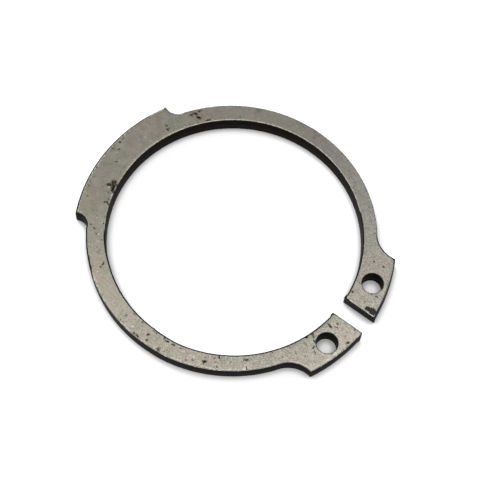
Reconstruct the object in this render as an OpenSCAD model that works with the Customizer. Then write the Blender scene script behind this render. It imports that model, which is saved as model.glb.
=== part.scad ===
// External retaining ring with two drilled lugs and a wide tab opposite its gap.
// The ring lies flat. Its bore axis is Z, the gap points along +X and the tab along -X.
// The origin is on the bore axis, midway between the two faces.

/* [Band] */
// Free inner diameter, which closes on the bottom of the shaft's groove
bore_d = 29.6; // [28:0.1:34]
// Thickness of the spring steel strip
thickness = 2; // [1.2:0.1:3]
// Radial width that the band tapers up to on the tab side
band_back_w = 2.24; // [1.9:0.02:2.7]
// Radial width that the band tapers down to on the gap side
band_front_w = 1.65; // [1.3:0.05:1.9]
// Bevel left on every sheared edge
edge_break = 0.12; // [0.05:0.01:0.2]

/* [Back tab] */
// Radial width of the tab, from the bore to its outer edge
tab_w = 3.7; // [3.3:0.01:4.4]
// Angle between the tab's two corners
tab_angle = 55.6; // [30:0.1:90]
// Turn of the tab's middle away from the line opposite the gap
tab_turn = 1.5; // [-6:0.1:6]
// Radius of the hollow at each end of the tab
tab_hollow_r = 1.55; // [1.1:0.05:2.2]

/* [Lugs] */
// Radial width of each lug, from the bore to its outer edge
lug_w = 3.77; // [3.5:0.01:4.4]
// Angle from the middle of the gap to the back corner of each lug
lug_angle = 26.5; // [24:0.1:34]
// Radius of the hollow behind each lug
lug_hollow_r = 3.4; // [2.4:0.1:4.4]
// Width of the gap between the lugs
gap_w = 2.35; // [1:0.05:3.5]
// Height of the lip that the cut raised at each corner of the gap
lip_h = 0.09; // [0.03:0.01:0.09]
// Radius of that lip, seen from above
lip_r = 0.4; // [0.3:0.05:0.6]

/* [Plier holes] */
// Diameter of each plier hole
hole_d = 2.5; // [1.5:0.1:2.7]
// Steel left between each plier hole and the outer edge of its lug
hole_edge_w = 0.49; // [0.4:0.01:0.8]
// Angle from the middle of the gap to each plier hole
hole_angle = 15.4; // [13:0.1:17]

/* [Hidden] */
$fn = 180;

// Depth by which each hollow runs into the band, so that it ends in a clean edge
hollow_dip = 0.03;
// Length by which a cutter reaches past the faces that it opens
past = 1;

bore_r = bore_d / 2;
tab_r = bore_r + tab_w;
lug_r = bore_r + lug_w;
hole_ring_r = lug_r - hole_edge_w - hole_d / 2;

// The band's outer rim is a circle set back from the bore, which makes the taper
band_r = bore_r + (band_back_w + band_front_w) / 2;
band_centre = [(band_front_w - band_back_w) / 2, 0];

tab_middle = 180 + tab_turn;
tab_corners = [tab_middle - tab_angle / 2, tab_middle + tab_angle / 2];

// Point at radius r and angle a from the bore axis
function polar(r, a) = [r * cos(a), r * sin(a)];

// Angle of a point, seen from the bore axis
function bearing(p) = atan2(p.y, p.x);

// Meeting point of two circles, to the left (side 1) or right (side -1) of the line from p to q
function meeting(p, p_r, q, q_r, side) =
    let (span = norm(q - p),
         along = (p_r ^ 2 - q_r ^ 2 + span ^ 2) / (2 * span),
         across = sqrt(p_r ^ 2 - along ^ 2),
         u = (q - p) / span)
    p + along * u + side * across * [-u.y, u.x];

// Centre of a hollow that starts at a corner and sinks just into the band's rim
function hollow_centre(corner_r, corner_a, hollow_r, side) =
    meeting(band_centre, band_r - hollow_dip + hollow_r, polar(corner_r, corner_a), hollow_r, side);

tab_hollows = [hollow_centre(tab_r, tab_corners[0], tab_hollow_r, -1),
               hollow_centre(tab_r, tab_corners[1], tab_hollow_r, 1)];
lug_hollow = hollow_centre(lug_r, lug_angle, lug_hollow_r, 1);

// Plate of radius r, with both rims bevelled
module plate(r) {
    top = thickness / 2;
    wall_top = top - edge_break;
    rotate_extrude()
        polygon([[0, -top], [r - edge_break, -top], [r, -wall_top],
                 [r, wall_top], [r - edge_break, top], [0, top]]);
}

// Half of a cutter's section: the cut is w from its middle, and opens out at both faces
function flared(w) =
    let (end = thickness / 2 + past, wall_end = thickness / 2 - edge_break, end_w = w + edge_break + past)
    [[end_w, -end], [w, -wall_end], [w, wall_end], [end_w, end]];

// Round cutter of radius r that bevels both of the rims it leaves
module round_cut(r) {
    end = thickness / 2 + past;
    rotate_extrude()
        polygon(concat([[0, -end]], flared(r), [[0, end]]));
}

// Slot along +X that parts the lugs and bevels the edges it leaves
module gap_cut() {
    right = flared(gap_w / 2);
    left = [for (i = [3:-1:0]) [-right[i].x, right[i].y]];
    rotate([90, 0, 90])
        linear_extrude(height = lug_r + past)
            polygon(concat(right, left));
}

// Part of a plate of radius r between two angles less than 180 apart
module sector(r, from, to) {
    reach = 2 * r;
    intersection() {
        plate(r);
        linear_extrude(height = thickness + past, center = true)
            polygon([[0, 0], polar(reach, from), polar(reach, (from + to) / 2), polar(reach, to)]);
    }
}

// Small bevelled lips at one radius, on both sides of the gap
module lip_pair(centre_r) {
    x = sqrt(centre_r ^ 2 - (gap_w / 2) ^ 2);
    for (y = [-gap_w / 2, gap_w / 2])
        translate([x, y]) plate(lip_r);
}

// The band with the tab and the lugs, before anything is cut through it
module blank() {
    translate(band_centre) plate(band_r);
    sector(tab_r, bearing(tab_hollows[0]), bearing(tab_hollows[1]) + 360);
    sector(lug_r, -bearing(lug_hollow), bearing(lug_hollow));
    lip_pair(lug_r + lip_h - lip_r);
}

module retaining_ring() {
    color([0.58, 0.57, 0.52])
    difference() {
        union() {
            difference() {
                blank();
                round_cut(bore_r);
            }
            lip_pair(bore_r - lip_h + lip_r);
        }
        gap_cut();
        for (p = tab_hollows)
            translate(p) round_cut(tab_hollow_r);
        for (side = [-1, 1]) {
            translate([lug_hollow.x, side * lug_hollow.y]) round_cut(lug_hollow_r);
            translate(polar(hole_ring_r, side * hole_angle)) round_cut(hole_d / 2);
        }
    }
}

retaining_ring();
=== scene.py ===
import math
import bmesh
import bpy
from mathutils import Euler, Matrix, Vector
from mathutils.kdtree import KDTree


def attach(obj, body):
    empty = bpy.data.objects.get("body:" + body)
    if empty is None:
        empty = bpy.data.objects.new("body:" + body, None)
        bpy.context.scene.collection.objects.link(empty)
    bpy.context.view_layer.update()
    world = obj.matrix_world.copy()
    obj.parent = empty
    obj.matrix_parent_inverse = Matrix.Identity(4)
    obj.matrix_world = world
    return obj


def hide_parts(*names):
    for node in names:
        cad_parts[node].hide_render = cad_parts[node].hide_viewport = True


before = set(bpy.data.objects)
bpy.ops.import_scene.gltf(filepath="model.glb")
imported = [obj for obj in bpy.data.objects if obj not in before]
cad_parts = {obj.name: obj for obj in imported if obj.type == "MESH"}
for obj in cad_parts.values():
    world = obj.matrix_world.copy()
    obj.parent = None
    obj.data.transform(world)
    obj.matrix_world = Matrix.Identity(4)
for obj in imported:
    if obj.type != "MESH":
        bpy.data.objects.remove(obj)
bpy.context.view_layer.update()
mm = 0.001


def mode(name):
    bpy.ops.object.mode_set(mode=name)


def onlyPiece(piece):
    bpy.ops.object.select_all(action="DESELECT")
    piece.select_set(True)
    bpy.context.view_layer.objects.active = piece


def namePiece(name):
    piece = bpy.context.active_object
    piece.name = piece.data.name = name
    return piece


def pick(piece, kind, wanted):
    # selects the vertices, edges or faces that wanted() says yes to, in edit mode
    bpy.ops.mesh.select_mode(type={"verts": "VERT", "edges": "EDGE", "faces": "FACE"}[kind])
    bpy.ops.mesh.select_all(action="DESELECT")
    mesh = bmesh.from_edit_mesh(piece.data)
    mesh.normal_update()
    for part in getattr(mesh, kind):
        if wanted(part):
            part.select = True
    mesh.select_flush_mode()
    bmesh.update_edit_mesh(piece.data)


def cutAway(piece, cutter):
    # takes the cutter's shape out of the piece and deletes the cutter
    onlyPiece(piece)
    cut = piece.modifiers.new("cut", "BOOLEAN")
    cut.operation = "DIFFERENCE"
    cut.solver = "EXACT"
    cut.object = cutter
    bpy.ops.object.modifier_apply(modifier=cut.name)
    bpy.data.objects.remove(cutter)


def polarPoint(radius, angle):
    return Vector((radius * math.cos(angle), radius * math.sin(angle)))


def bearing(point):
    return math.atan2(point.y, point.x) % math.tau


# the ring: bore axis on Z, gap towards +X, tab towards -X, sizes in mm and degrees
ring = {
    "boreRadius": 14.8,
    "thickness": 2.0,
    "bandRadius": 16.77,  # the band's outer rim is a circle set back from the bore
    "bandCentre": (-0.295, -0.03),
    "tabRadius": 18.5,
    "tabMiddle": 181.5,
    "tabAngle": 56.4,
    "tabHollow": 1.55,  # radius of the hollow at each end of the tab
    "lugRadii": (18.68, 18.63),  # upper and lower lug
    "lugAngles": (27.2, 26.15),  # from the middle of the gap to their back corners
    "lugHollow": 3.4,  # radius of the hollow behind each lug
    "hollowDip": 0.03,  # depth by which the hollows run into the band
    "gapWidth": 2.3,
    "shearLean": 0.03,  # the walls lean outwards from the upper face, as sheared steel does
    "shearDepth": 1.1,  # how far down they lean, before they stand upright
    "lugLean": 0.05,  # how much more the outer ends of the lugs lean
    "gapLean": ((1, -0.07, 0.1), (-1, 0.15, 1.5)),  # upper and lower face: how far apart, over what reach
    "boreBulge": (252, 18, 0.12, 4),  # where the bore's rim stands in: direction, half angle, depth, reach
    "rimRound": 0.13,  # rolled edge that stamping and tumbling leave
    "rimSteps": 4,
    "gapCorners": (0.12, 4),  # round and steps of the upright corners at the gap
    "otherCorners": (0.03, 2),  # and of those of the tab and the lugs
    "tabTip": (18.5, 153.35, 0.12, 0.7),  # its radius and angle, how far it is drawn out, over what reach
    "lips": [(14.8, -0.12, 0.4), (18.6, 0.08, 0.4)],  # radius, push and reach of the burrs at the gap
    "holeRadius": 1.205,
    "holeRing": 16.83,
    "holeAngle": 15.4,
    "holeLean": 0.06,  # the plier holes are this much narrower below
    "holeRim": 0.07,
    "holeRoll": (22.5, 45, 67.5, 80),  # slopes of their rolled rims
    "holeFlare": (0.3, 0.25),  # rise and spread of the pin past the rims
    "holeSides": 72,
    "stepLength": 0.18,  # spacing of the points along the rims
    "bandRows": 8,  # rows of faces across the band
    "tabRowLean": 7,  # how far these rows lean at the ends of the tab
    "rimWander": 0.02,  # how far the rolled edges wander
    "rimGrain": {"X": 0.22, "Y": 0.286},  # and over what length
    "smoothAngle": 32,
}

halfThick = ring["thickness"] / 2
halfGap = ring["gapWidth"] / 2

# for picking: how near its place a point is, in mm, how sharp an edge, in radians, how steep a face
within = {
    "face": 0.001,
    "boreWall": 0.5,
    "boreRim": 0.2,
    "lugEnd": 0.1,
    "gapWall": 0.02,
    "gapCorner": 0.2,
    "cornerHeight": 0.4,
    "tabTip": 0.12,
    "lip": (0.19, 0.14),
    "rimFold": 0.7,
    "cornerFold": 0.6,
    "wallSlope": 0.5,
    "gapSlope": 0.9999,
    "rimSlope": 0.98,
}


def circlesMeet(p, pRadius, q, qRadius, side):
    # side 1 is left of the line from p to q, side -1 is right of it
    span = (q - p).length
    along = (pRadius ** 2 - qRadius ** 2 + span ** 2) / (2 * span)
    across = math.sqrt(pRadius ** 2 - along ** 2)
    u = (q - p) / span
    return p + along * u + side * across * Vector((-u.y, u.x))


def outlineArcs():
    # (centre, start, end, clockwise) of each arc of the outer rim, from the upper lug round to the lower one
    axis = Vector((0, 0))
    band = Vector(ring["bandCentre"])
    bandRadius, tabRadius = ring["bandRadius"] + ring["shearLean"], ring["tabRadius"] + ring["shearLean"]
    upper, lower = (radius + ring["shearLean"] for radius in ring["lugRadii"])
    deep = bandRadius - ring["hollowDip"]
    gapAt = math.asin(halfGap / upper)
    upperAt, lowerAt = (math.radians(angle) for angle in ring["lugAngles"])
    tabFrom, tabTo = (math.radians(ring["tabMiddle"] + s * ring["tabAngle"] / 2) for s in (-1, 1))
    corners = [polarPoint(upper, upperAt), polarPoint(tabRadius, tabFrom),
               polarPoint(tabRadius, tabTo), polarPoint(lower, -lowerAt)]
    radii = [ring["lugHollow"], ring["tabHollow"], ring["tabHollow"], ring["lugHollow"]]
    sides = [1, -1, 1, -1]
    hollows = [circlesMeet(band, deep + r, corner, r, side) for corner, r, side in zip(corners, radii, sides)]
    feet = [circlesMeet(band, bandRadius, hollow, r, side) for hollow, r, side in zip(hollows, radii, sides)]
    return [
        (axis, polarPoint(upper, gapAt), corners[0], False),
        (hollows[0], corners[0], feet[0], True),
        (band, feet[0], feet[1], False),
        (hollows[1], feet[1], corners[1], True),
        (axis, corners[1], corners[2], False),
        (hollows[2], corners[2], feet[2], True),
        (band, feet[2], feet[3], False),
        (hollows[3], feet[3], corners[3], True),
        (axis, corners[3], polarPoint(lower, -gapAt), False),
    ]


def startRim(name, point):
    # a single point, to be spun into a rim
    bpy.ops.object.select_all(action="DESELECT")
    bpy.ops.mesh.primitive_plane_add(size=mm, location=(0, 0, 0))
    rim = namePiece(name)
    mode("EDIT")
    bpy.ops.mesh.merge(type="CENTER")
    bpy.ops.transform.translate(value=(point.x * mm, point.y * mm, -halfThick * mm))
    return rim


def arcTurn(centre, start, end, clockwise):
    turn = (bearing(end - centre) - bearing(start - centre)) % math.tau
    return turn - math.tau if clockwise else turn


def spinArc(centre, turn, steps):
    # spin turns clockwise for a positive angle
    bpy.ops.mesh.spin(steps=steps, angle=-turn, center=(centre.x * mm, centre.y * mm, 0), axis=(0, 0, 1))


def fading(falloff, reach):
    # lets a move fade out over the points around those that are picked
    return {"use_proportional_edit": True, "proportional_edit_falloff": falloff,
            "proportional_size": reach * mm}


def isWall(face):
    # upright, and not a side of the gap
    return abs(face.normal.z) < within["wallSlope"] and abs(face.normal.y) < within["gapSlope"]


def leanWalls(piece):
    # the upper outline is drawn in from the walls: outwards at the bore and inwards at the outer rim
    top = (halfThick - within["face"]) * mm
    split = (ring["boreRadius"] + within["boreWall"]) * mm
    for isBore, radius in ((True, ring["boreRadius"]), (False, ring["bandRadius"])):
        pick(piece, "verts", lambda v: v.co.z > top and (v.co.xy.length < split) == isBore
             and any(isWall(f) for f in v.link_faces))
        grow = 1 + ring["shearLean"] / radius * (1 if isBore else -1)
        bpy.ops.transform.resize(value=(grow, grow, 1), center_override=(0, 0, 0))
    # the ends of the lugs lean a little more
    lugRadius = ring["lugRadii"][1]
    pick(piece, "verts", lambda v: v.co.z < top and v.co.x > 0
         and v.co.xy.length > (lugRadius - within["lugEnd"]) * mm)
    grow = 1 + ring["lugLean"] / lugRadius
    bpy.ops.transform.resize(value=(grow, grow, 1), center_override=(0, 0, 0))
    # the sides of the gap come closer at the top and spread at the bottom
    for face, shift, reach in ring["gapLean"]:
        for side in (1, -1):
            pick(piece, "verts", lambda v: v.co.z * face > top and v.co.x > 0
                 and abs(v.co.y * side / mm - halfGap) < within["gapWall"])
            bpy.ops.transform.translate(value=(0, side * shift * mm, 0), **fading("LINEAR", reach))
    # part of the bore's rim stands in a little
    middle, half, depth, reach = ring["boreBulge"]
    rim = (ring["boreRadius"] + within["boreRim"]) * mm
    pick(piece, "verts", lambda v: v.co.z > top and v.co.xy.length < rim
         and abs(math.degrees(bearing(v.co.xy)) - middle) < half)
    shrink = 1 - depth / ring["boreRadius"]
    bpy.ops.transform.resize(value=(shrink, shrink, 1), center_override=(0, 0, 0), **fading("SMOOTH", reach))


def makeBlank():
    arcs = outlineArcs()
    steps = [max(4, round(abs(arcTurn(*arc)) * (arc[1] - arc[0]).length / ring["stepLength"]))
             for arc in arcs]
    outer = startRim("ring_body", arcs[0][1])
    for arc, count in zip(arcs, steps):
        spinArc(arc[0], arcTurn(*arc), count)
    mode("OBJECT")
    # the bore's rim gets as many points over the same angles, so that the rows across the band run straight
    wallBore = ring["boreRadius"] - ring["shearLean"]
    gapAt = math.asin(halfGap / wallBore)
    ends = [gapAt] + [bearing(arc[2]) for arc in arcs[:-1]] + [math.tau - gapAt]
    # the tab's corners are undercut, so their rows lean towards its middle
    ends[4] += math.radians(ring["tabRowLean"])
    ends[5] -= math.radians(ring["tabRowLean"])
    inner = startRim("bore_rim", polarPoint(wallBore, gapAt))
    for here, there, count in zip(ends, ends[1:], steps):
        spinArc(Vector((0, 0)), there - here, count)
    mode("OBJECT")
    onlyPiece(outer)
    inner.select_set(True)
    bpy.ops.object.join()
    mode("EDIT")
    bpy.ops.mesh.select_mode(type="EDGE")
    bpy.ops.mesh.select_all(action="SELECT")
    bpy.ops.mesh.bridge_edge_loops(number_cuts=ring["bandRows"] - 1, interpolation="LINEAR")
    bpy.ops.mesh.select_all(action="SELECT")
    upright = ring["thickness"] - ring["shearDepth"]
    bpy.ops.mesh.extrude_region_move(TRANSFORM_OT_translate={"value": (0, 0, upright * mm)})
    bpy.ops.mesh.extrude_region_move(TRANSFORM_OT_translate={"value": (0, 0, ring["shearDepth"] * mm)})
    bpy.ops.mesh.select_all(action="SELECT")
    bpy.ops.mesh.normals_make_consistent()
    leanWalls(outer)
    return outer


def bevelPicked(size, steps, clamp):
    bpy.ops.mesh.bevel(offset=size * mm, segments=steps, clamp_overlap=clamp, loop_slide=False)


def rollEdges(piece):
    # rounds the rims of both faces, then takes the sharpness off the upright corners
    top = (halfThick - within["face"]) * mm
    pick(piece, "edges", lambda e: e.calc_face_angle(0) > within["rimFold"]
         and all(abs(v.co.z) > top for v in e.verts))
    bevelPicked(ring["rimRound"], ring["rimSteps"], clamp=False)
    for atGap, corners in ((True, "gapCorners"), (False, "otherCorners")):
        pick(piece, "edges", lambda e: e.calc_face_angle(0) > within["cornerFold"]
             and abs(e.verts[0].co.z - e.verts[1].co.z) > within["cornerHeight"] * mm
             and (e.verts[0].co.x > 0
                  and abs(abs(e.verts[0].co.y) / mm - halfGap) < within["gapCorner"]) == atGap)
        bevelPicked(*ring[corners], clamp=True)


def raiseLips(piece):
    # draws out the tip of the tab's far corner, and pushes out a burr at the four corners of the gap
    radius, angle, push, reach = ring["tabTip"]
    tip = polarPoint(radius, math.radians(angle))
    pick(piece, "verts", lambda v: (v.co.xy / mm - tip).length < within["tabTip"])
    out = tip.normalized() * push * mm
    bpy.ops.transform.translate(value=(out.x, out.y, 0), **fading("SHARP", reach))
    nearX, nearY = within["lip"]
    for radius, push, reach in ring["lips"]:
        edgeX = math.sqrt(radius ** 2 - halfGap ** 2)
        pick(piece, "verts", lambda v: abs(abs(v.co.y) / mm - halfGap) < nearY
             and abs(v.co.x / mm - edgeX) < nearX)
        bpy.ops.transform.translate(value=(push * mm, 0, 0), **fading("SPHERE", reach))


def holePlace(side):
    return polarPoint(ring["holeRing"], side * math.radians(ring["holeAngle"])) * mm


def plierHoleCutter(side):
    # a pin whose ends flare, so that the hole it leaves has rolled rims
    place = holePlace(side)
    wallTop = halfThick - ring["holeRim"]
    lower = ring["holeRadius"] - ring["holeLean"]
    upright = ring["thickness"] - ring["shearDepth"] - ring["holeRim"]
    bpy.ops.object.select_all(action="DESELECT")
    bpy.ops.mesh.primitive_cylinder_add(vertices=ring["holeSides"], radius=lower * mm, depth=upright * mm,
                                        location=(place.x, place.y, (upright / 2 - wallTop) * mm))
    pin = namePiece("plier_pin")
    onlyPiece(pin)
    bpy.ops.object.transform_apply()
    mode("EDIT")
    roll = [math.radians(angle) for angle in ring["holeRoll"]]
    rise, spread = ring["holeFlare"]
    for end, radius in ((1, ring["holeRadius"]), (-1, lower)):
        steps = [(ring["holeRim"] * math.sin(a), radius + ring["holeRim"] * (1 - math.cos(a))) for a in roll]
        steps.append((steps[-1][0] + rise, steps[-1][1] + spread))
        if end == 1:
            lean = ring["shearDepth"] - ring["holeRim"]
            steps = [(lean, radius)] + [(lean + height, wide) for height, wide in steps]
        # its flat end is its only many-sided face on this side
        pick(pin, "faces", lambda f: f.normal.z * end > 0.9 and len(f.verts) > 4)
        before = (0.0, lower)
        for height, wide in steps:
            bpy.ops.mesh.extrude_region_move(
                TRANSFORM_OT_translate={"value": (0, 0, end * (height - before[0]) * mm)})
            grow = wide / before[1]
            bpy.ops.transform.resize(value=(grow, grow, 1), center_override=(place.x, place.y, 0))
            before = (height, wide)
    mode("OBJECT")
    return pin


def wanderRims(piece):
    # the rolled edges wander a little sideways, as on a tumbled stamping
    wallTop = (halfThick - ring["rimRound"] - within["face"]) * mm
    onlyPiece(piece)
    mode("EDIT")
    pick(piece, "verts", lambda v: abs(v.co.z) > wallTop
         and any(abs(f.normal.z) < within["rimSlope"] for f in v.link_faces))
    bpy.ops.object.vertex_group_add()
    piece.vertex_groups.active.name = "rims"
    bpy.ops.object.vertex_group_assign()
    mode("OBJECT")
    for direction, grainSize in ring["rimGrain"].items():
        grain = bpy.data.textures.new("edge_grain_" + direction, "CLOUDS")
        grain.noise_scale = grainSize * mm
        grain.noise_depth = 2
        rough = piece.modifiers.new("edge_grain", "DISPLACE")
        rough.texture = grain
        rough.texture_coords = "LOCAL"
        rough.direction = direction
        rough.vertex_group = "rims"
        rough.strength = 2 * ring["rimWander"] * mm
        bpy.ops.object.modifier_apply(modifier=rough.name)


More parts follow.
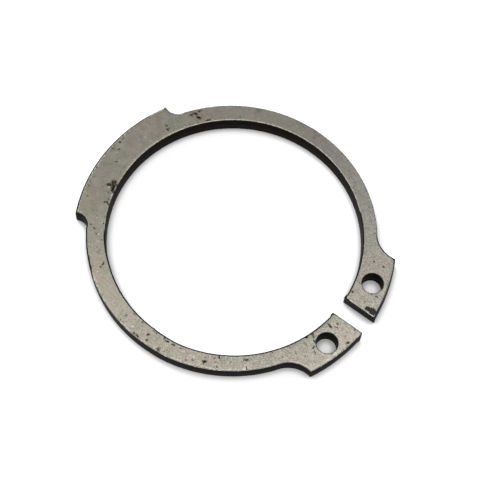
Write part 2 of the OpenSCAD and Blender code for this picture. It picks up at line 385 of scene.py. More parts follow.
# wear on the face that shows, and the painted shade of the dent and highlight of the ridge: x, y, half
# length, half width and turn of each mark, then how strong it is
wear = {
    "pits": [
        (-13.02, 10.28, 0.22, 0.09, 80, 1), (-13.15, 9.74, 0.24, 0.11, 10, 1),
        (-12.53, 9.55, 0.3, 0.13, 10, 1), (-13.42, 9.35, 0.22, 0.09, 70, 1),
        (-11.36, 9.98, 0.26, 0.09, 55, 0.9), (-15.04, -3.34, 0.26, 0.2, 20, 1),
        (-14.88, -3.72, 0.3, 0.2, -40, 1), (-15.3, -3.96, 0.26, 0.15, 30, 1),
        (-14.7, -4.02, 0.3, 0.18, -60, 1), (-14.46, -4.32, 0.25, 0.15, -20, 1),
        (-14.54, -3.48, 0.18, 0.15, 0, 0.9), (-14.2, -5.94, 0.2, 0.07, 40, 0.85),
        (-13.86, -5.93, 0.2, 0.07, -15, 0.85), (-9.5, -12.1, 0.19, 0.08, 110, 1),
        (-9.45, -12.58, 0.12, 0.07, 80, 0.7), (-0.92, -16.5, 0.19, 0.09, 0, 0.9),
        (0.24, -16.27, 0.11, 0.09, 0, 0.9), (1.86, -16.36, 0.2, 0.12, -20, 0.8),
        (-0.06, -15.66, 0.15, 0.1, 60, 0.9), (6.76, -14.38, 0.22, 0.13, 30, 1),
        (10.36, -11.42, 0.16, 0.1, 40, 0.9), (15.28, -2.64, 0.34, 0.06, -14, 1),
        (15.86, -1.96, 0.14, 0.07, -20, 0.9), (18.02, -3.08, 0.17, 0.08, 55, 1),
        (14.45, -4.66, 0.27, 0.08, -42, 0.8), (15.36, -5.8, 0.18, 0.06, 75, 0.8),
        (14.82, 6.75, 0.1, 0.08, 0, 0.8), (16.1, 6.9, 0.1, 0.09, 0, 0.9), (15.02, 2.24, 0.09, 0.08, 0, 0.9),
    ],
    "flecks": [
        (-12.8, 10.55, 0.15, 0.1, 30, 0.4), (-11.56, 9.72, 0.12, 0.08, 0, 0.6),
        (-13.15, 7.72, 0.19, 0.04, 0, 0.5), (-12.68, 8.22, 0.12, 0.06, 60, 0.6),
        (-14.86, 6.32, 0.13, 0.08, 20, 0.85), (-14.42, 6.22, 0.09, 0.12, 0, 0.75),
        (-14.45, 5.98, 0.2, 0.08, -10, 0.8), (-15.12, 6.38, 0.08, 0.06, 0, 0.5),
        (-14.65, 5.55, 0.12, 0.06, 0, 0.4), (-16.45, 7.98, 0.18, 0.06, -20, 0.6),
        (-14.22, 9.08, 0.2, 0.06, 60, 0.5), (-15.25, 8.1, 0.18, 0.05, 15, 0.5),
        (-8.62, 12.65, 0.12, 0.07, 30, 0.55), (-8.28, 12.86, 0.12, 0.06, 60, 0.45),
        (-9.75, 11.85, 0.12, 0.07, 0, 0.5), (-6.66, 13.36, 0.12, 0.05, 30, 0.45),
        (-7.45, 14.68, 0.2, 0.1, 10, 0.45), (-10.7, 11.08, 0.22, 0.07, 20, 0.3),
        (0.05, 15.75, 0.12, 0.08, 0, 0.5), (8.8, 13.75, 0.12, 0.07, -30, 0.5),
        (7.4, 14.78, 0.12, 0.06, -30, 0.5), (-17.88, 1.22, 0.13, 0.1, 0, 0.8),
        (-17.9, 1.85, 0.16, 0.09, 80, 0.5), (-17.38, 0.36, 0.16, 0.08, 60, 0.65),
        (-17.95, 0.02, 0.26, 0.07, 10, 0.55), (-16.6, -1.1, 0.14, 0.08, 20, 0.65),
        (-17.95, -0.32, 0.12, 0.08, 0, 0.4), (-17.65, 4.9, 0.1, 0.05, 60, 0.5),
        (-17.95, -3.1, 0.2, 0.06, 10, 0.6), (-17.3, -5, 0.14, 0.05, 0, 0.5),
        (-17.2, -5.45, 0.14, 0.05, 0, 0.5), (-17.38, -4.2, 0.1, 0.05, 0, 0.4),
        (-14.72, -4.82, 0.24, 0.06, 5, 0.5), (-14.18, -5.42, 0.14, 0.05, -10, 0.6),
        (-16.36, -6.6, 0.12, 0.08, -50, 0.6), (-14.76, -7.62, 0.1, 0.07, 0, 0.5),
        (-13.92, -7.9, 0.1, 0.06, 0, 0.4), (-12.66, -8.2, 0.1, 0.07, -60, 0.8),
        (-13.76, -9.22, 0.1, 0.06, 0, 0.6), (-13.14, -9.34, 0.2, 0.07, 10, 0.6),
        (-12.5, -9.7, 0.09, 0.07, 0, 0.7), (-11.32, -10.94, 0.1, 0.06, -40, 0.7),
        (-10.85, -11.06, 0.09, 0.06, 0, 0.6), (-11.2, -12.58, 0.2, 0.07, -30, 0.8),
        (-8.4, -14.6, 0.12, 0.07, -20, 0.6), (0.1, -14.98, 0.18, 0.06, 0, 0.5),
        (0.55, -15, 0.13, 0.06, 0, 0.6), (1.6, -14.9, 0.08, 0.08, 0, 0.7), (2.05, -15.02, 0.2, 0.08, 10, 0.8),
        (2.9, -14.9, 0.14, 0.07, 10, 0.7), (3.8, -14.75, 0.14, 0.06, 15, 0.6),
        (-1.52, -14.93, 0.15, 0.05, 0, 0.7), (-2.85, -14.73, 0.12, 0.04, 0, 0.5),
        (-3.45, -15.36, 0.13, 0.13, 0, 0.45), (-3.62, -16.15, 0.1, 0.08, 0, 0.6),
        (-1.42, -16.48, 0.13, 0.09, 0, 0.75), (-0.16, -15.86, 0.1, 0.06, 0, 0.6),
        (1.9, -16.16, 0.08, 0.08, 0, 0.5), (7.78, -13.04, 0.16, 0.08, -40, 0.9),
        (7.42, -13.34, 0.12, 0.06, 70, 0.7), (6.88, -14.62, 0.06, 0.12, 0, 0.6),
        (6.55, -13.9, 0.1, 0.07, 0, 0.4), (8.2, -14.05, 0.11, 0.06, -20, 0.7),
        (7.66, -13.76, 0.07, 0.05, 0, 0.5), (5.66, -15.02, 0.11, 0.06, 0, 0.7),
        (5.02, -15.46, 0.13, 0.08, 0, 0.5), (9.1, -12.72, 0.08, 0.16, 20, 0.4),
        (12.55, -10.8, 0.12, 0.06, 30, 0.6), (16.02, -2.36, 0.21, 0.05, 8, 0.75),
        (17.4, -2.62, 0.12, 0.12, 0, 0.3), (17.78, -1.36, 0.18, 0.05, -30, 0.7),
        (15.78, -6.2, 0.19, 0.05, -38, 0.7), (13.32, -7.38, 0.14, 0.05, -50, 0.6),
        (14.1, -7.48, 0.1, 0.06, -30, 0.4), (15.2, -7.25, 0.08, 0.04, 0, 0.3),
        (14.3, -6.02, 0.25, 0.02, -8, 0.35), (14.7, -1.3, 0.12, 0.12, 0, 0.8),
        (14.55, 7.2, 0.11, 0.05, 30, 0.5), (13.42, 7.06, 0.1, 0.07, 0, 0.5), (17.5, 3.4, 0.16, 0.07, 0, 0.7),
        (16.82, 1.98, 0.07, 0.14, 20, 0.35), (14.18, 4.2, 0.14, 0.04, -20, 0.7),
        (16.42, 2.15, 0.3, 0.02, 15, 0.3),
    ],
    "pale": [
        (-11.04, 10.36, 0.11, 0.08, 40, 1), (-15.1, -4.24, 0.12, 0.07, 0, 0.9),
        (-14.5, -3.3, 0.1, 0.05, -60, 0.7), (-14.2, 7.05, 0.14, 0.05, 60, 0.35),
        (-13.88, 6.84, 0.12, 0.05, 50, 0.35), (-13.15, 7.58, 0.17, 0.05, 0, 0.4),
        (-18.02, -3.28, 0.1, 0.06, 0, 0.7), (-17.35, -0.1, 0.08, 0.06, 0, 0.5),
        (-16.72, 3.1, 0.08, 0.07, 0, 0.5), (-16.3, 2.8, 0.09, 0.07, 0, 0.5), (-15.9, 3.55, 0.1, 0.08, 0, 0.5),
        (-15.1, 3.45, 0.08, 0.06, 0, 0.4), (-16.4, -0.75, 0.09, 0.07, 0, 0.5),
        (-16.2, -1.15, 0.08, 0.07, 0, 0.5), (-16.4, 5.02, 0.08, 0.05, 40, 0.4),
        (-15.2, 4.8, 0.22, 0.04, -45, 0.25), (-15.75, -5.62, 0.36, 0.04, -52, 0.25),
        (-12.8, -8.22, 0.06, 0.09, 0, 0.8), (-12.1, -8.66, 0.09, 0.07, 0, 1),
        (-12.3, -8.45, 0.05, 0.1, 0, 0.8), (-13.62, -8.78, 0.07, 0.07, 0, 0.6),
        (-12.18, -9.6, 0.1, 0.05, 40, 0.6), (-11.62, -10.34, 0.08, 0.06, 0, 0.6),
        (-11.92, -11.1, 0.08, 0.06, 30, 0.6), (-12.3, -11.2, 0.07, 0.06, 0, 0.5),
        (-9.35, -13.3, 0.18, 0.04, 40, 0.5), (-10.05, -13.55, 0.12, 0.06, -30, 0.9),
        (-9.28, -14.02, 0.14, 0.05, -30, 1), (-2.06, -15.95, 0.11, 0.1, 0, 1),
        (-0.14, -16.72, 0.11, 0.07, 0, 1), (-2.15, -16.64, 0.22, 0.06, -5, 0.9),
        (-1.15, -16.62, 0.16, 0.03, -5, 0.7), (-0.68, -16.42, 0.05, 0.1, 0, 0.7),
        (-3.3, -16.4, 0.12, 0.05, -10, 0.7), (5.5, -14.62, 0.1, 0.09, 0, 0.8),
        (6.6, -14.72, 0.12, 0.04, 30, 0.6), (7.35, -15, 0.14, 0.04, 25, 0.8),
        (8.9, -13.95, 0.14, 0.05, 35, 0.8), (9.45, -13.42, 0.2, 0.05, 38, 0.8),
        (10.7, -12.5, 0.14, 0.06, 38, 0.8), (18.3, -2.16, 0.1, 0.06, 80, 1),
        (17.45, -6.02, 0.13, 0.05, 65, 0.9), (14.94, 3.6, 0.1, 0.04, 70, 0.9), (15, 1.45, 0.16, 0.06, 10, 1),
        (7.4, 14.35, 0.2, 0.03, -30, 0.5), (8.5, 13.9, 0.16, 0.03, -30, 0.5),
        (0.02, -14.98, 0.03, 0.03, 0, 0.3), (14.25, 3.35, 0.07, 0.05, 0, 0.5),
    ],
    "dent": [(17.82, 1.68, 0.68, 0.28, 9, 0.05)],
    "dentShade": [(17.6, 1.62, 0.46, 0.28, 14, 1), (18.12, 1.65, 0.44, 0.42, 8, 1),
                  (18.4, 1.58, 0.16, 0.34, 0, 1)],
    # a bright ridge along the gap: bare steel of a burr, with a painted highlight on it
    "ridgeHighlight": [(17.8, 1.21, 0.2, 0.035, -10, 0.7), (18.26, 1.2, 0.26, 0.04, 0, 0.8),
              (15.02, 1.3, 0.14, 0.05, 10, 0.6), (15.5, 1.21, 0.3, 0.03, -8, 0.5)],
    "nicks": [  # bites out of the rims: x, y, half length, half width, turn, depth
        (13.98, -5.3, 0.13, 0.06, -30, 0.1), (14.98, -5.16, 0.22, 0.07, -5, 0.16),
        (13.05, -7.32, 0.08, 0.05, -50, 0.06), (10.88, -12.18, 0.24, 0.07, -38, 0.18),
        (7.98, -12.84, 0.07, 0.05, 30, 0.05), (14.98, 3.68, 0.07, 0.04, -60, 0.05),
        (16.86, 3.3, 0.09, 0.07, 60, 0.12), (-11.35, -12.72, 0.16, 0.09, -35, 0.1),
        (1.98, -16.62, 0.2, 0.1, 0, 0.12), (-18.38, -3.02, 0.09, 0.07, 0, 0.1),
        (-16.9, 7.42, 0.1, 0.06, 60, 0.1), (-13.52, 10.12, 0.1, 0.06, 60, 0.08),
    ],
    "tints": [  # broad stains: x, y, radius, warmth: 0 green, 1 pink
        (-12, 10.3, 0.8, 1), (-6.6, 13.9, 0.8, 0.9), (-9.1, 12.3, 0.5, 0.8), (-15.9, 5.4, 1.6, 0.95),
        (-14.3, 7.2, 0.8, 0.1), (-7.4, 14.7, 0.5, 0), (-15.3, -4.5, 0.5, 1), (-15.6, -5.9, 1.2, 0.8),
        (-15.2, -7.6, 0.8, 0.1), (0.85, -15.4, 0.6, 0), (-1.7, -15.5, 0.6, 0.1), (-3.7, -15.6, 0.5, 0.15),
        (-0.5, -15.8, 0.7, 0.85), (2.1, -15.8, 0.7, 0.85), (-2.8, -15.1, 0.7, 0.8), (7, -13.6, 0.5, 1),
        (8.4, -13.3, 0.7, 0.1), (5.2, -14.9, 0.8, 0.8), (11.2, -12, 0.4, 1), (9.8, -12.4, 0.7, 0.35),
        (14.6, -5.3, 0.9, 0), (16.9, -2.5, 1, 0.9), (14, -6.9, 0.8, 0.3), (17.2, -7, 0.9, 0.8),
        (14.3, 6.6, 0.8, 0.95), (15.6, 6.1, 0.7, 0.8), (17.2, 5.4, 0.6, 0.2), (16.2, 2.5, 0.9, 0.85),
        (-9, -13.3, 0.9, 0.85), (-8.7, -12.4, 0.5, 0), (-13.6, -8.6, 0.6, 0.8), (-12.3, -10, 0.8, 0.6),
        (13.2, 7.6, 0.7, 0.3), (-17.6, 4, 0.9, 0.7), (-16.2, 1.5, 1, 0.75),
    ],
    "lighter": [  # paler over a large part, and darker in the list below: x, y, radius, how much
        (-5.5, -15.5, 4.5, 0.09), (17.4, -3.6, 3, 0.09), (17.2, 3.6, 3, 0.06), (-9, 13, 7, 0.08),
    ],
    "darker": [(-16.2, -4.5, 4.5, 0.12), (12, -10.5, 4, 0.09), (0.5, 15.8, 3.5, 0.07)],
    "stoneSeed": 7,
    "stoneRough": 0.17,  # how uneven the lumps are that cut the marks, as a share of their size
    "spacing": 1.2,  # marks nearer than this to each other are cut only once
    "pitDepth": 0.05,
    "pitStrength": 0.85,  # pits stronger than this are cut, and the others are only dark
    "rimTop": 0.93,  # points lower than this are on a rim or a wall
    "rimReach": 0.5,  # distance over which the wear beside the rims fades out
}


def roughStone(name):
    # a small lump, roughened once and copied for every mark that is cut
    bpy.ops.object.select_all(action="DESELECT")
    bpy.ops.mesh.primitive_ico_sphere_add(subdivisions=3, radius=mm, location=(0, 0, 0))
    stone = namePiece(name)
    mode("EDIT")
    bpy.ops.mesh.select_all(action="SELECT")
    bpy.ops.transform.vertex_random(offset=wear["stoneRough"] * mm, normal=1.0, seed=wear["stoneSeed"])
    mode("OBJECT")
    return stone


def wearCutters(name, marks):
    # one lump in each mark; a mark that would touch an earlier one is passed over
    stone = roughStone(name)
    copies = []
    placed = []
    for x, y, long, wide, turn, depth in marks:
        if any(math.dist((x, y), other[:2]) < wear["spacing"] * (long + other[2]) for other in placed):
            continue
        placed.append((x, y, long))
        lump = stone.copy()
        lump.data = stone.data.copy()
        bpy.context.collection.objects.link(lump)
        lump.location = (x * mm, y * mm, halfThick * mm)
        lump.rotation_euler = (0, 0, math.radians(turn))
        lump.scale = (long, wide, depth)
        copies.append(lump)
    bpy.data.objects.remove(stone)
    onlyPiece(copies[0])
    for lump in copies:
        lump.select_set(True)
    bpy.ops.object.join()
    bpy.ops.object.transform_apply()
    return copies[0]


def markRims(piece):
    # an attribute that is 1 on the rims and falls to 0 beside them, for the wear in the finish
    mesh = bmesh.new()
    mesh.from_mesh(piece.data)
    rims = [v.co.copy() for v in mesh.verts if abs(v.co.z) < wear["rimTop"] * mm]
    tree = KDTree(len(rims))
    for i, place in enumerate(rims):
        tree.insert(place, i)
    tree.balance()
    layer = mesh.verts.layers.float.new("rimNear")
    for v in mesh.verts:
        v[layer] = max(0.0, 1 - tree.find(v.co)[2] / (wear["rimReach"] * mm))
    mesh.to_mesh(piece.data)
    mesh.free()


def makeRing():
    piece = makeBlank()
    rollEdges(piece)
    raiseLips(piece)
    mode("OBJECT")
    for side in (1, -1):
        cutAway(piece, plierHoleCutter(side))
    print("ring cut:", len(piece.data.polygons), "faces")
    wanderRims(piece)
    pits = [(*mark[:5], wear["pitDepth"]) for mark in wear["pits"] if mark[5] > wear["pitStrength"]]
    cutAway(piece, wearCutters("pits", pits + wear["dent"]))
    cutAway(piece, wearCutters("nicks", wear["nicks"]))
    print("pits and nicks cut:", len(piece.data.polygons), "faces")
    markRims(piece)
    onlyPiece(piece)
    bpy.ops.object.shade_smooth_by_angle(angle=math.radians(ring["smoothAngle"]))
    even = piece.modifiers.new("even_shade", "WEIGHTED_NORMAL")
    even.keep_sharp = True
    bpy.ops.object.modifier_apply(modifier=even.name)
    return piece


def node(tree, kind, inputs=None, **settings):
    made = tree.nodes.new(kind if kind.startswith("NodeGroup") else "ShaderNode" + kind)
    for key, value in settings.items():
        setattr(made, key, value)
    for key, value in (inputs or {}).items():
        fill(tree, made.inputs[key], value)
    return made


def fill(tree, socket, value):
    if isinstance(value, bpy.types.NodeSocket):
        tree.links.new(value, socket)
    else:
        socket.default_value = value


def noise(tree, where, size, detail=2.0, rough=0.5, shift=0.0):
    # size is that of a patch in mm; shift moves the pattern, so that two of one size differ
    moved = node(tree, "Mapping", {"Vector": where, "Location": (shift, shift * 0.7, shift * 0.4)})
    made = node(tree, "TexNoise", {"Vector": moved.outputs["Vector"], "Scale": 1 / (size * mm),
                                   "Detail": detail, "Roughness": rough})
    return made.outputs["Fac"]


def sums(tree, operation, *values):
    return node(tree, "Math", dict(enumerate(values)), operation=operation).outputs[0]


def vectors(tree, operation, *values, output="Vector"):
    return node(tree, "VectorMath", dict(enumerate(values)), operation=operation).outputs[output]


def span(tree, value, low, high, toLow=0.0, toHigh=1.0):
    made = node(tree, "MapRange", {"Value": value, "From Min": low, "From Max": high,
                                   "To Min": toLow, "To Max": toHigh}, interpolation_type="SMOOTHSTEP")
    return made.outputs["Result"]


def ramp(tree, place, ends):
    # ends: two places in mm, and the values there
    start, end, fromValue, toValue = ends
    return span(tree, place, start * mm, end * mm, fromValue, toValue)


def patches(tree, where, pattern, detail=2.0, rough=0.5, shift=0.0):
    # pattern: size of a patch in mm, levels of the noise where it starts and is full, strength
    size, low, high, full = pattern
    return span(tree, noise(tree, where, size, detail, rough, shift), low, high, 0.0, full)


def blend(tree, share, a, b, way="MIX"):
    # the sockets 0, 6 and 7 are the factor and the two colours
    return node(tree, "Mix", {0: share, 6: a, 7: b}, data_type="RGBA", blend_type=way).outputs[2]


def newFinish(name):
    finish = bpy.data.materials.new(name)
    finish.use_nodes = True
    tree = finish.node_tree
    tree.nodes.clear()
    return finish, tree


def closeFinish(tree, colour, metallic, roughness, specular, height, depth):
    # the shader of a finish; height is the pattern of its relief, and depth is in mm
    bump = node(tree, "Bump", {"Height": height, "Distance": depth * mm})
    shader = node(tree, "BsdfPrincipled",
                  {"Base Color": colour, "Metallic": metallic, "Roughness": roughness,
                   "Specular IOR Level": specular, "Normal": bump.outputs["Normal"]})
    node(tree, "OutputMaterial", {"Surface": shader.outputs["BSDF"]})


markDepth = 0.4   # how far down from the upper face a painted mark reaches, in mm


def spots(tree, where, marks, soft=0.4):
    # 1 inside the marks and 0 outside them; the marks are a group of their own
    group = bpy.data.node_groups.new("marks", "ShaderNodeTree")
    group.interface.new_socket("Place", in_out="INPUT", socket_type="NodeSocketVector")
    group.interface.new_socket("Marked", in_out="OUTPUT", socket_type="NodeSocketFloat")
    here = node(group, "NodeGroupInput").outputs["Place"]
    reach = 1 + soft
    found = 0.0
    for x, y, long, wide, turn, strength in marks:
        placed = node(group, "Mapping",
                      {"Vector": here, "Location": (x * mm, y * mm, halfThick * mm),
                       "Rotation": (0, 0, math.radians(turn)),
                       "Scale": (long * reach * mm, wide * reach * mm, markDepth * reach * mm)},
                      vector_type="TEXTURE")
        inside = node(group, "TexGradient", {"Vector": placed.outputs["Vector"]}, gradient_type="SPHERICAL")
        share = span(group, inside.outputs["Fac"], 0.0, 2 * soft / reach, 0.0, strength)
        found = sums(group, "MAXIMUM", found, share)
    node(group, "NodeGroupOutput", {"Marked": found})
    return node(tree, "Group", {"Place": where}, node_tree=group).outputs["Marked"]


# where the rims are made dark, by direction and place, in mm and degrees
darkRims = {
    # direction, half angle, radius, half width, how dark
    "arcs": [(312, 98, 14.8, 0.5, 1.0), (132, 86, 14.8, 0.5, 0.8), (197, 39, 17.3, 2.0, 1.0),
             (30, 7, 17.3, 2.0, 1.0), (112, 76, 17.3, 2.0, 0.65), (16, 14, 18.8, 0.36, 0.9)],
    "arcBlur": 4,  # half the angle over which an arc fades at its ends
    "holes": (0.12, 0.16, 0.9),  # around the plier holes: dark out to, gone at, how dark
    "gapHalf": 1.42,  # half width of the dark strip along the gap
    "gap": (13, 14, 0.0, 0.85),  # its ends along X, as ramp() takes them
}


def rimShade(tree, where):
    # 1 on the rims that are made dark here, 0 on the others
    flat = vectors(tree, "MULTIPLY", where, (1, 1, 0))
    radius = vectors(tree, "LENGTH", flat, output="Value")
    heading = vectors(tree, "NORMALIZE", flat)
    shade = 0.0
    blur = darkRims["arcBlur"]
    for angle, half, middle, reach, amount in darkRims["arcs"]:
        way = (math.cos(math.radians(angle)), math.sin(math.radians(angle)), 0)
        facing = vectors(tree, "DOT_PRODUCT", heading, way, output="Value")
        share = span(tree, facing, math.cos(math.radians(half + blur)), math.cos(math.radians(half - blur)),
                     0.0, amount)
        share = sums(tree, "MULTIPLY", share, sums(tree, "COMPARE", radius, middle * mm, reach * mm))
        shade = sums(tree, "MAXIMUM", shade, share)
    # the rims of the plier holes and of the gap
    full, gone, amount = darkRims["holes"]
    for side in (1, -1):
        place = holePlace(side)
        far = vectors(tree, "DISTANCE", flat, (place.x, place.y, 0), output="Value")
        hole = ramp(tree, far, (ring["holeRadius"] + gone, ring["holeRadius"] + full, 0.0, amount))
        shade = sums(tree, "MAXIMUM", shade, hole)
    axes = node(tree, "SeparateXYZ", {0: where}).outputs
    gap = sums(tree, "MULTIPLY", sums(tree, "COMPARE", axes["Y"], 0.0, darkRims["gapHalf"] * mm),
               ramp(tree, axes["X"], darkRims["gap"]))
    return sums(tree, "MAXIMUM", shade, gap)


# the ground faces: satin grey steel with warm and greenish stains, specks and pits
faceLook = {
    "steel": (0.365, 0.350, 0.298, 1),
    "warm": (0.385, 0.337, 0.285, 1),
    "green": (0.318, 0.322, 0.262, 1),
    "dark": (0.011, 0.009, 0.007, 1),
    "rust": (0.11, 0.062, 0.040, 1),
    "pale": (0.72, 0.70, 0.65, 1),
    "shade": (0.034, 0.034, 0.030, 1),
    "roughness": (0.19, 0.16),  # the least, and how much more it gets
    "specular": 0.04,
    "grainDepth": 0.008,
    # patches, as patches() takes them
    "warmStains": (2.6, 0.42, 0.68, 0.6),
    "greenStains": (1.9, 0.50, 0.72, 0.6),
    "darkSpecks": (0.26, 0.70, 0.78, 0.75),
    "paleSpecks": (0.24, 0.69, 0.77, 0.6),
    "lineBreaks": (0.35, 0.42, 0.6, 1.0),
    # size in mm, and contrast
    "mottle": (0.55, 0.10),
    "grain": (0.16, 0.27),
    "ragged": (0.22, 0.34),  # size and reach of the unevenness at the borders of marks, in mm
    # ends along X, as ramp() takes them
    "coarser": (-14, 22, 0.2, 1.1),  # strength of the grain, along a line from the tab to the lower lug
    # painted light: the face is made brighter towards the lugs, where it reflects more of the light above
    "paintedLightRamps": [(-18, 18, 0.90, 1.09), (13, 18, 0.0, 0.07)],
    "bluer": (-16, 17, 0.965, 1.035),
    "placedStains": (0.8, 0.85),  # softness and strength
    # how much larger than they are cut marks are painted: length, width, least half width, strength
    "pitPaint": (1.25, 1.3, 0.09, 1.0),
    "fleckPaint": (1.25, 1.4, 0.06, 1.25),
    "haloPaint": (1.6, 1.9, 0.0, 0.6),
    "dentSoft": 0.15,  # softness of its border, and of that of the rust around the pits
    "haloSoft": 0.6,
    "brokenDirt": (0.16, 0.34, 0.50, 0.45),  # size in mm, levels of the noise at its ends, least share left
    # the thin line beside the rims, as values of rimNear where it starts and is full
    # the pale line is worn steel and painted highlight
    "paleLine": (0.56, 0.68),
    "darkLine": (0.64, 0.74),
    "lineWander": (0.3, 0.12),  # size and reach of the dark line's unevenness
    "rimDarkness": (0.78, 1.0),  # how dark a rim has to be for the dark line to start and to be full
}


def faceSteel(tree, where):
    # the steel before it got marks, with painted light that brightens it from the tab towards the lugs, and
    # its grain, which is needed again for the relief
    colour = blend(tree, patches(tree, where, faceLook["warmStains"]), faceLook["steel"], faceLook["warm"])
    colour = blend(tree, patches(tree, where, faceLook["greenStains"], shift=0.3), colour, faceLook["green"])
    soft, strength = faceLook["placedStains"]
    for isWarm, tint in ((True, "warm"), (False, "green")):
        marks = [(x, y, r, r, 0, abs(w - 0.5) * 2) for x, y, r, w in wear["tints"] if (w > 0.5) == isWarm]
        share = sums(tree, "MULTIPLY", spots(tree, where, marks, soft), strength)
        colour = blend(tree, share, colour, faceLook[tint])
    # the lugs and the band near them are coarser than the tab
    axes = node(tree, "SeparateXYZ", {0: where}).outputs
    coarse = ramp(tree, sums(tree, "MULTIPLY_ADD", axes["Y"], -0.5, axes["X"]), faceLook["coarser"])
    size, contrast = faceLook["mottle"]
    mottle = span(tree, noise(tree, where, size, 3.0, 0.6, 1.1), 0.3, 0.7, -contrast, contrast)
    size, contrast = faceLook["grain"]
    grain = span(tree, noise(tree, where, size, 2.0, 0.6, 2.3), 0.3, 0.7, -contrast, contrast)
    grain = sums(tree, "MULTIPLY", sums(tree, "ADD", grain, mottle), coarse)
    brightness = grain
    # painted light: brighter from the tab towards the lugs
    for ends in faceLook["paintedLightRamps"]:
        brightness = sums(tree, "ADD", brightness, ramp(tree, axes["X"], ends))
    for way, marks in (("ADD", wear["lighter"]), ("SUBTRACT", wear["darker"])):
        large = spots(tree, where, [(x, y, r, r, 0, share) for x, y, r, share in marks], 1.0)
        brightness = sums(tree, way, brightness, large)
    blue = sums(tree, "MULTIPLY", brightness, ramp(tree, axes["X"], faceLook["bluer"]))
    grey = node(tree, "CombineColor", {0: brightness, 1: brightness, 2: blue}).outputs[0]
    return blend(tree, 1.0, colour, grey, "MULTIPLY"), grain


def painted(marks, long, wide, least, strength):
    return [(x, y, a * long, max(b, least) * wide, turn, min(1, k * strength))
            for x, y, a, b, turn, k in marks]


def faceFinish():
    finish, tree = newFinish("ground_face")
    where = node(tree, "TexCoord").outputs["Object"]
    # edges of marks are ragged: the place is shaken before it is compared
    size, reach = faceLook["ragged"]
    shake = node(tree, "TexNoise", {"Vector": where, "Scale": 1 / (size * mm), "Detail": 3.0})
    shake = vectors(tree, "SUBTRACT", shake.outputs["Color"], (0.5, 0.5, 0.5))
    shake = vectors(tree, "MULTIPLY", shake, (reach * mm, reach * mm, 0))
    shaken = node(tree, "Mapping", {"Vector": where, "Location": shake}).outputs["Vector"]
    colour, grain = faceSteel(tree, where)
    # small specks, thicker near the rims
    rimNear = node(tree, "Attribute", attribute_name="rimNear").outputs["Fac"]
    for kind, tint, more, shift in (("darkSpecks", "dark", 0.05, 4.0), ("paleSpecks", "pale", 0.04, 5.2)):
        size, start, full, strength = faceLook[kind]
        speck = sums(tree, "MULTIPLY_ADD", rimNear, more, noise(tree, where, size, 1.0, 0.5, shift))
        colour = blend(tree, span(tree, speck, start, full, 0.0, strength), colour, faceLook[tint])
    # along the rims there is a thin dark line where rimShade makes them dark, and elsewhere a thin pale one:
    # worn steel, and painted highlight along the edge
    rimDarkness = span(tree, rimShade(tree, where), *faceLook["rimDarkness"])
    wornEdgeAndHighlight = sums(tree, "MULTIPLY", span(tree, rimNear, *faceLook["paleLine"]),
                patches(tree, where, faceLook["lineBreaks"], 1.0, shift=9.0))
    wornEdgeAndHighlight = sums(tree, "MULTIPLY", wornEdgeAndHighlight, sums(tree, "SUBTRACT", 0.5, sums(tree, "MULTIPLY", rimDarkness, 0.5)))
    # placed marks
    pale = spots(tree, shaken, wear["pale"])
    # the ridge is bare steel and painted highlight
    ridgeHighlight = spots(tree, shaken, wear["ridgeHighlight"])
    # painted shade: a dark patch over the dent
    dent = spots(tree, shaken, wear["dentShade"], faceLook["dentSoft"])
    pits = spots(tree, shaken, painted(wear["pits"], *faceLook["pitPaint"]))
    flecks = spots(tree, shaken, painted(wear["flecks"], *faceLook["fleckPaint"]))
    nicks = spots(tree, shaken, [(*mark[:5], 1.0) for mark in wear["nicks"]])
    halo = spots(tree, shaken, painted(wear["pits"], *faceLook["haloPaint"]), faceLook["haloSoft"])
    halo = sums(tree, "MULTIPLY", halo, noise(tree, where, 0.5, 1.0, 0.5, 3.1))
    size, low, high, least = faceLook["brokenDirt"]
    brokenUp = span(tree, noise(tree, where, size, 2.0, 0.6, 6.0), low, high, least, 1.0)
    dirtAndShade = sums(tree, "MULTIPLY", sums(tree, "MAXIMUM", pits, flecks), brokenUp)
    dirtAndShade = sums(tree, "MAXIMUM", dirtAndShade, nicks)
    size, reach = faceLook["lineWander"]
    wander = noise(tree, where, size, 2.0, 0.6, 8.0)
    line = span(tree, sums(tree, "MULTIPLY_ADD", wander, reach, rimNear), *faceLook["darkLine"])
    dirtAndShade = sums(tree, "MAXIMUM", dirtAndShade, sums(tree, "MULTIPLY", line, rimDarkness))
    for share, tint in ((wornEdgeAndHighlight, "pale"), (pale, "pale"), (dent, "shade"), (halo, "rust"), (dirtAndShade, "dark"),
                        (ridgeHighlight, "pale")):
        colour = blend(tree, share, colour, faceLook[tint])
    # shine and relief; the dirt and the dent's painted shade aren't metal
    dirtAndShade = sums(tree, "MULTIPLY", sums(tree, "MAXIMUM", dirtAndShade, dent), sums(tree, "SUBTRACT", 1.0, ridgeHighlight))
    least, more = faceLook["roughness"]
    roughness = sums(tree, "MULTIPLY_ADD", noise(tree, where, 0.9, 3.0, 0.6, 7.0), more, least)
    closeFinish(tree, colour, sums(tree, "SUBTRACT", 1.0, dirtAndShade), roughness, faceLook["specular"],
                grain, faceLook["grainDepth"])
    return finish


# the sheared walls: dark phosphate, left from before the faces were ground
wallLook = {
    "dark": (0.0014, 0.0010, 0.0005, 1),
    "brown": (0.0052, 0.0036, 0.0018, 1),
    "scuff": (0.0098, 0.0080, 0.0050, 1),
    "roughness": 0.5,
    "specular": 0.02,
    # patches, as patches() takes them
    "brownPatches": (0.8, 0.4, 0.65, 1.0),
    "scuffs": (0.25, 0.60, 0.75, 0.6),
    "burnished": (0.0, 0.4, 0.75, 0.0),  # ends of the paler part in height, as ramp() takes them
    "border": (0.5, 0.3),  # size and reach of its unevenness, in mm
    "shearLines": (0.16, 0.15, 0.012),  # spacing in mm, width as a share of length, depth in mm
}


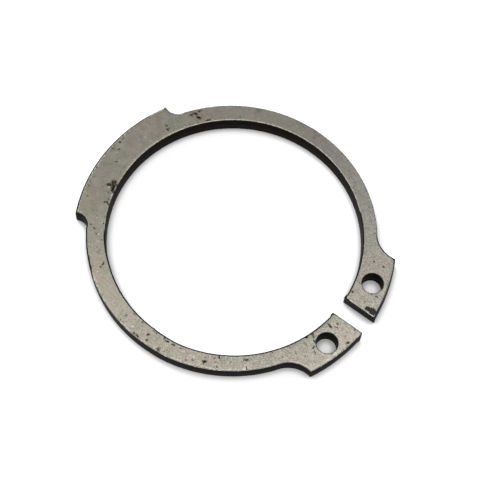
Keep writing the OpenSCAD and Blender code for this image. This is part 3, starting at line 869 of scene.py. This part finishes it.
def wallFinish():
    finish, tree = newFinish("dark_sheared_wall")
    where = node(tree, "TexCoord").outputs["Object"]
    brown = patches(tree, where, wallLook["brownPatches"], 3.0)
    colour = blend(tree, brown, wallLook["dark"], wallLook["brown"])
    colour = blend(tree, patches(tree, where, wallLook["scuffs"], 3.0, 0.6, 1.7), colour, wallLook["scuff"])
    # the lower part was burnished by the die and is paler than the torn part above it
    height = node(tree, "SeparateXYZ", {0: where}).outputs["Z"]
    size, wander = wallLook["border"]
    ragged = sums(tree, "MULTIPLY_ADD", noise(tree, where, size, 2.0, 0.5, 5.0), wander * mm, height)
    colour = blend(tree, ramp(tree, ragged, wallLook["burnished"]), colour, wallLook["scuff"])
    # shear lines run up and down the wall
    spacing, slim, deep = wallLook["shearLines"]
    tall = node(tree, "Mapping", {"Vector": where, "Scale": (1, 1, slim)}).outputs["Vector"]
    lines = noise(tree, tall, spacing, 2.0, 0.5, 2.9)
    closeFinish(tree, colour, 0.0, wallLook["roughness"], wallLook["specular"], lines, deep)
    return finish


# the rolled rims: bare bright steel, with the dark finish left towards the wall, and dark where rimShade
# makes them so
rimLook = {
    "bare": (0.30, 0.29, 0.26, 1),
    "bright": (0.62, 0.61, 0.57, 1),
    "dark": (0.012, 0.010, 0.008, 1),
    "roughness": 0.34,
    "specular": 0.02,
    "darkBelow": (0.885, 0.965, 0.75, -0.15),  # ends of the dark finish in height, as ramp() takes them
    "ragged": (0.20, 1.6),  # size and strength of the unevenness at its border
    "rimDarkness": 1.1,  # how much the rims that rimShade makes dark add
    "border": (0.35, 0.6),  # sums at which the dark finish starts and is full
    "brightPatches": (0.28, 0.55, 0.68, 1.0),
    "relief": (0.18, 0.012),  # size and depth in mm
}


def rimFinish():
    finish, tree = newFinish("worn_rim")
    where = node(tree, "TexCoord").outputs["Object"]
    # towards the wall the dark finish is left; the border is ragged
    height = sums(tree, "ABSOLUTE", node(tree, "SeparateXYZ", {0: where}).outputs["Z"])
    low = ramp(tree, height, rimLook["darkBelow"])
    size, strength = rimLook["ragged"]
    ragged = sums(tree, "SUBTRACT", noise(tree, where, size, 3.0, 0.6, 1.3), 0.5)
    rimDarkness = sums(tree, "MULTIPLY", rimShade(tree, where), rimLook["rimDarkness"])
    dark = sums(tree, "ADD", sums(tree, "MULTIPLY_ADD", ragged, strength, low), rimDarkness)
    dark = span(tree, dark, *rimLook["border"])
    bright = patches(tree, where, rimLook["brightPatches"], shift=3.3)
    colour = blend(tree, bright, rimLook["bare"], rimLook["bright"])
    colour = blend(tree, dark, colour, rimLook["dark"])
    # painted highlight: the ridge along the gap is made bright on the rims too
    ridgeHighlight = spots(tree, where, wear["ridgeHighlight"])
    colour = blend(tree, ridgeHighlight, colour, rimLook["bright"])
    size, deep = rimLook["relief"]
    closeFinish(tree, colour, sums(tree, "SUBTRACT", 1.0, dark), rimLook["roughness"], rimLook["specular"],
                noise(tree, where, size, 2.0, 0.5, 4.4), deep)
    return finish


# which finish each face of the ring gets
finishes = {
    "flatFrom": 0.97,  # faces flatter than this are ground
    "markReach": 1.15,  # the cut marks belong to the ground face this far out, as a share of their length
    "rimFrom": 0.7,  # and where rimNear is less than this
}


def paintRing(piece):
    ground, wall, rolled = range(3)
    for finish in (faceFinish(), wallFinish(), rimFinish()):
        piece.data.materials.append(finish)
    wallTop = (halfThick - ring["rimRound"]) * mm
    marks = [(x * mm, y * mm, long * finishes["markReach"] * mm)
             for x, y, long, *_ in wear["pits"] + wear["dent"] + wear["nicks"]]
    tree = KDTree(len(marks))
    for i, (x, y, _) in enumerate(marks):
        tree.insert((x, y, 0), i)
    tree.balance()
    rimNear = piece.data.attributes["rimNear"].data
    for face in piece.data.polygons:
        centre = face.center
        if abs(face.normal.z) > finishes["flatFrom"]:
            face.material_index = ground
        elif abs(centre.z) < wallTop:
            face.material_index = wall
        else:
            face.material_index = rolled
            if centre.z > 0:
                _, i, away = tree.find((centre.x, centre.y, 0))
                if away < marks[i][2] and rimNear[face.vertices[0]].value < finishes["rimFrom"]:
                    face.material_index = ground


body = makeRing()
paintRing(body)
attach(body, "root")
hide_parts("retaining_ring")
print("ring made:", len(body.data.vertices), "points", len(body.data.polygons), "faces")


# floor, light and camera, in metres
studio = {
    "floorSize": 1.2,
    "floorColour": (0.90, 0.89, 0.908, 1),
    "floorWhite": 0.455,  # plain white that the camera and reflections see on top of the light on the floor
    "contact": (1.0, 0.45, 0.92, 0.5),  # foot of the shadow: reach in mm, openness it runs between, darkness
    "ceilingLight": 1.36,
    "ceilingColour": (1.03, 1.0, 0.95, 1),
    "betweenLight": 0.24,  # a dim, cooler ring between the ceiling and the walls
    "betweenColour": (0.90, 0.98, 1.12, 1),
    "wallLight": 1.15,
    "ceilingEdge": (0.85, 0.945),  # sines of the heights between which the light changes
    "wallEdge": (0.55, 0.76),
    "side": {"place": (-0.42, 0.08, 0.34), "size": 0.24, "power": 1.5},
}


def makeFloor():
    bpy.ops.object.select_all(action="DESELECT")
    bpy.ops.mesh.primitive_plane_add(size=studio["floorSize"], location=(0, 0, -halfThick * mm))
    floor = namePiece("floor")
    onlyPiece(floor)
    bpy.ops.object.transform_apply()
    finish, tree = newFinish("white_paper")
    rays = node(tree, "LightPath")
    seen = sums(tree, "MAXIMUM", rays.outputs["Is Camera Ray"], rays.outputs["Is Glossy Ray"])
    seen = sums(tree, "MAXIMUM", seen, rays.outputs["Is Transmission Ray"])
    paper = node(tree, "BsdfDiffuse", {"Color": studio["floorColour"]})
    white = node(tree, "Emission", {"Color": (1, 1, 1, 1),
                                    "Strength": sums(tree, "MULTIPLY", seen, studio["floorWhite"])})
    both = node(tree, "AddShader", {0: paper.outputs["BSDF"], 1: white.outputs["Emission"]})
    # where the ring stands on the floor its shadow is darkest
    reach, closed, clear, darkness = studio["contact"]
    openness = node(tree, "AmbientOcclusion", {"Distance": reach * mm}, samples=16).outputs["AO"]
    shade = sums(tree, "MULTIPLY", span(tree, openness, closed, clear, darkness, 0.0), seen)
    black = node(tree, "BsdfDiffuse", {"Color": (0, 0, 0, 1)})
    both = node(tree, "MixShader", {0: shade, 1: both.outputs["Shader"], 2: black.outputs["BSDF"]})
    node(tree, "OutputMaterial", {"Surface": both.outputs["Shader"]})
    floor.data.materials.append(finish)


def makeWorld():
    world = bpy.data.worlds.new("studio")
    bpy.context.scene.world = world
    world.use_nodes = True
    tree = world.node_tree
    tree.nodes.clear()
    rays = node(tree, "LightPath")
    up = node(tree, "SeparateXYZ", {0: node(tree, "TexCoord").outputs["Generated"]}).outputs["Z"]
    high = span(tree, up, *studio["ceilingEdge"])
    low = span(tree, up, *studio["wallEdge"], 1.0, 0.0)
    between = studio["betweenLight"]
    level = sums(tree, "MULTIPLY_ADD", high, studio["ceilingLight"] - between, between)
    level = sums(tree, "MULTIPLY_ADD", low, studio["wallLight"] - between, level)
    tint = blend(tree, high, studio["betweenColour"], studio["ceilingColour"])
    tint = blend(tree, low, tint, (1, 1, 1, 1))
    # the camera sees plain white
    seen = rays.outputs["Is Camera Ray"]
    level = sums(tree, "MAXIMUM", sums(tree, "MULTIPLY", level, sums(tree, "SUBTRACT", 1.0, seen)), seen)
    sky = node(tree, "Background", {"Color": blend(tree, seen, tint, (1, 1, 1, 1)), "Strength": level})
    node(tree, "OutputWorld", {"Surface": sky.outputs["Background"]})


def makeLamp(name):
    place = Vector(studio[name]["place"])
    bpy.ops.object.light_add(type="AREA", location=place, rotation=place.to_track_quat("Z", "Y").to_euler())
    lamp = bpy.context.active_object
    lamp.name = name + "_light"
    lamp.data.size = studio[name]["size"]
    lamp.data.energy = studio[name]["power"]


# the camera: angles in degrees, distance in metres
view = {
    "turn": 35.15,
    "height": 65.57,
    "roll": 2.04,
    "distance": 0.13881,
    "lens": 90.0,
    "sensor": 36.0,
    "shift": (0.01248, -0.00798),
}


def makeCamera():
    turn, height = math.radians(view["turn"]), math.radians(view["height"])
    back = Vector((math.sin(turn) * math.cos(height), -math.cos(turn) * math.cos(height), math.sin(height)))
    roll = Matrix.Rotation(math.radians(view["roll"]), 3, "Z")
    aim = Euler((math.pi / 2 - height, 0, turn)).to_matrix() @ roll
    bpy.ops.object.camera_add(location=back * view["distance"], rotation=aim.to_euler())
    camera = bpy.context.active_object
    camera.name = "camera"
    camera.data.lens = view["lens"]
    camera.data.sensor_width = view["sensor"]
    camera.data.shift_x, camera.data.shift_y = view["shift"]
    camera.data.clip_start = 0.01
    bpy.context.scene.camera = camera


makeFloor()
makeWorld()
makeLamp("side")
makeCamera()
bpy.context.scene.view_settings.view_transform = "Standard"
print("floor, light and camera set")
